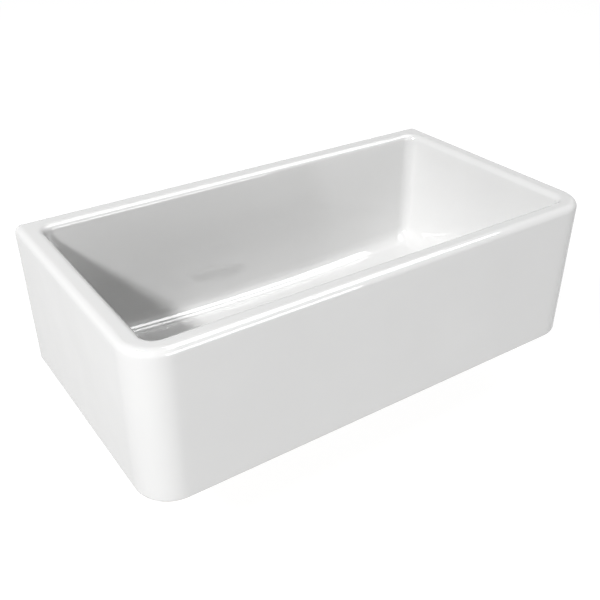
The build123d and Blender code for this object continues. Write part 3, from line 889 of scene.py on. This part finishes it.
softs = {
    "black_rubber": {"name": "blackRubber", "first": (0.045, 0.045, 0.047, 1),
                     "second": (0.06, 0.06, 0.06, 1), "smooth": 0.5, "rough": 0.68,
                     "scale": 40.0, "depth": 0.08 * mm, "fleck": (0.09, 0.09, 0.09, 1)},
    "fibre_ring": {"name": "fibreRing", "first": (0.5, 0.385, 0.26, 1),
                   "second": (0.36, 0.26, 0.16, 1), "smooth": 0.8, "rough": 0.95,
                   "scale": 160.0, "depth": 0.12 * mm, "fleck": (0.62, 0.52, 0.38, 1)},
    "pale_sealant": {"name": "paleSealant", "first": (0.82, 0.8, 0.75, 1),
                     "second": (0.75, 0.73, 0.68, 1), "smooth": 0.35, "rough": 0.55,
                     "scale": 60.0, "depth": 0.12 * mm},
    "white_washer": {"name": "whiteWasher", "first": (0.88, 0.88, 0.86, 1),
                     "second": (0.84, 0.84, 0.81, 1), "smooth": 0.35, "rough": 0.5,
                     "scale": 50.0, "depth": 0.02 * mm},
}
softFlecks = {"Scale": 700.0, "Size": 0.3, "Share": 0.35}
softScales = {"sheen": 0.6, "grain": 9}     # times a soft finish's own scale


def makeSoft(name, first, second, smooth, rough, scale, depth, fleck=None):
    # Rubber, fibre, sealant or plastic: two tones in a cloud, a fine grain and, if given, flecks.
    material, nodes, links, shader = newMaterial(name)
    tone = mixed(nodes, links, useGroup(nodes, cloud, Scale=scale, Detail=5.0), first, second)
    if fleck:
        tone = mixed(nodes, links, useGroup(nodes, specks, **softFlecks), tone, fleck)
    sheen = useGroup(nodes, cloud, Scale=scale * softScales["sheen"], Detail=2.0)
    grain = useGroup(nodes, cloud, Scale=scale * softScales["grain"], Detail=3.0)
    links.new(tone, shader.inputs["Base Color"])
    links.new(ranged(nodes, links, sheen, smooth, rough), shader.inputs["Roughness"])
    bumped(nodes, links, shader, [(grain, depth)])
    return material


materials = {"glazed_fireclay": makeGlaze()}
materials.update({slot: makeMetal(**look) for slot, look in metals.items()})
materials.update({slot: makeSoft(**look) for slot, look in softs.items()})
dressed = 0
for piece in list(bpy.context.scene.objects):
    # pieces made here name their node; a CAD mesh that is still shown is its own
    node = piece.get("slotNode") or (piece.name if piece.name in frame["nodes"] else None)
    if piece.type == "MESH" and node and not piece.hide_render:
        piece.data.materials.clear()
        piece.data.materials.append(materials[slotOf[node]])
        dressed += 1
print("materials on", dressed, "pieces")


stage = {
    # the camera, with its focal length and its drop of the frame in pixels of the photograph
    "focal": 799.1, "frameWidth": 600.0, "drop": 22.0, "sensor": 36.0,
    "azimuth": math.radians(-34.29), "elevation": math.radians(32.50),
    "eye": (-0.6903, -0.9812, 0.8049),      # from the middle of the underside
    "floorSize": 14.0, "floorGap": 0.5 * mm, "floorRough": 0.9,
    "floorColour": (0.8, 0.8, 0.8, 1), "floorShade": (0.14, 0.14, 0.14, 1),
    "floorGlow": 0.96, "floorMirrored": 0.6,    # as the camera and as mirrors see the floor
    "worldLevel": 0.03, "worldColour": (1, 1, 1, 1),
    "aim": (0, 0, 0.3),                     # what every lamp faces
}
# softboxes: along is the world axis that the width lies along; power is in watts
lamps = {
    "keyLamp": {"place": (-3.9, -1.08, 3.95), "along": (0, 1, 0),
                "width": 2.1, "depth": 0.48, "power": 298},
    "frontLamp": {"place": (0.9, -4.4, 0.9), "along": (1, 0, 0),
                  "width": 3.2, "depth": 1.7, "power": 68},
    "topLamp": {"place": (1.5, 0.35, 4.0), "along": (1, 0, 0),
                "width": 2.6, "depth": 0.7, "power": 27},
    "rightLamp": {"place": (2.28, 0.1, 2.12), "along": (0, 1, 0),
                  "width": 2.4, "depth": 2.4, "power": 7},
    "stripLamp": {"place": (1.2, -0.95, 2.85), "along": (1, 0, 0),
                  "width": 2.2, "depth": 0.9, "power": 36},
}


def makeCamera():
    # the photograph's view: back points from the object to the eye
    s = stage
    camera = bpy.data.cameras.new("camera")
    holder = bpy.data.objects.new("camera", camera)
    bpy.context.scene.collection.objects.link(holder)
    back = Vector((math.sin(s["azimuth"]) * math.cos(s["elevation"]),
                   -math.cos(s["azimuth"]) * math.cos(s["elevation"]),
                   math.sin(s["elevation"])))
    right = (-back).cross(Vector((0, 0, 1))).normalized()
    up = right.cross(-back)
    place = Matrix((right, up, back)).transposed().to_4x4()
    place.translation = Vector(s["eye"]) + Vector((0, 0, undersideZ))
    holder.matrix_world = place
    camera.sensor_width = s["sensor"]
    camera.lens = s["focal"] / s["frameWidth"] * s["sensor"]
    camera.shift_y = s["drop"] / s["frameWidth"]
    bpy.context.scene.camera = holder


def addLamp(name, place, along, width, depth, power):
    lamp = bpy.data.lights.new(name, "AREA")
    lamp.shape, lamp.size, lamp.size_y, lamp.energy = "RECTANGLE", width, depth, power
    holder = bpy.data.objects.new(name, lamp)
    bpy.context.scene.collection.objects.link(holder)
    back = (Vector(place) - Vector(stage["aim"])).normalized()
    up = back.cross(Vector(along)).normalized()
    turn = Matrix((up.cross(back), up, back)).transposed().to_4x4()
    holder.matrix_world = Matrix.Translation(place) @ turn
    return holder


def seenAsBackground(nodes, links):
    # 1 for a ray that shows a surface as background (camera, mirror or see-through), else 0
    path = addNode(nodes, "LightPath").outputs
    seen = worked(nodes, links, "MAXIMUM", path["Is Camera Ray"], path["Is Glossy Ray"])
    return worked(nodes, links, "MAXIMUM", seen, path["Is Transmission Ray"])


def makeWorld():
    # a weak light, and white where the background is seen
    world = bpy.data.worlds.new("world")
    bpy.context.scene.world = world
    world.use_nodes = True
    nodes, links = world.node_tree.nodes, world.node_tree.links
    light, mix = nodes["Background"], addNode(nodes, "MixShader")
    light.inputs["Color"].default_value = stage["worldColour"]
    light.inputs["Strength"].default_value = stage["worldLevel"]
    shown = addNode(nodes, "Background", {"Color": stage["worldColour"]})
    joinNodes(links,
              (seenAsBackground(nodes, links), mix.inputs[0]),
              (light.outputs[0], mix.inputs[1]),
              (shown.outputs[0], mix.inputs[2]),
              (mix.outputs[0], nodes["World Output"].inputs["Surface"]))


def makeFloor():
    # Pale floor under the tailpiece. As background it is a white glow plus a little diffuse, so
    # that it reads as white and still keeps the object's shadow.
    half = stage["floorSize"] / 2
    mesh = bpy.data.meshes.new("studioFloor")
    mesh.from_pydata([(-half, -half, 0), (half, -half, 0), (half, half, 0), (-half, half, 0)],
                     [], [(0, 1, 2, 3)])
    floor = bpy.data.objects.new("studioFloor", mesh)
    bpy.context.scene.collection.objects.link(floor)
    floor.location.z = cadBox[0].z - stage["floorGap"]
    material, nodes, links, pale = newMaterial("paleFloor")
    pale.inputs["Base Color"].default_value = stage["floorColour"]
    pale.inputs["Roughness"].default_value = stage["floorRough"]
    pale.inputs["Specular IOR Level"].default_value = 0.0
    faint = addNode(nodes, "BsdfDiffuse", {"Color": stage["floorShade"]})
    glow, path = addNode(nodes, "Emission"), addNode(nodes, "LightPath")
    level = ranged(nodes, links, path.outputs["Is Camera Ray"],
                   stage["floorMirrored"], stage["floorGlow"])
    both, mix = addNode(nodes, "AddShader"), addNode(nodes, "MixShader")
    joinNodes(links,
              (level, glow.inputs["Strength"]),
              (faint.outputs[0], both.inputs[0]),
              (glow.outputs[0], both.inputs[1]),
              (seenAsBackground(nodes, links), mix.inputs[0]),
              (pale.outputs[0], mix.inputs[1]),
              (both.outputs[0], mix.inputs[2]),
              (mix.outputs[0], nodes["Material Output"].inputs["Surface"]))
    mesh.materials.append(material)


makeCamera()
makeWorld()
makeFloor()
lampOf = {name: addLamp(name, **lamp) for name, lamp in lamps.items()}
# the strip makes the long highlights in coves and rims: only the glaze's gloss shows it
lampOf["stripLamp"].visible_diffuse = False
glazeOnly = bpy.data.collections.new("glazeOnly")
glazeOnly.objects.link(basinPiece)
lampOf["stripLamp"].light_linking.receiver_collection = glazeOnly
bpy.context.scene.view_settings.view_transform = "Standard"
print("stage done")
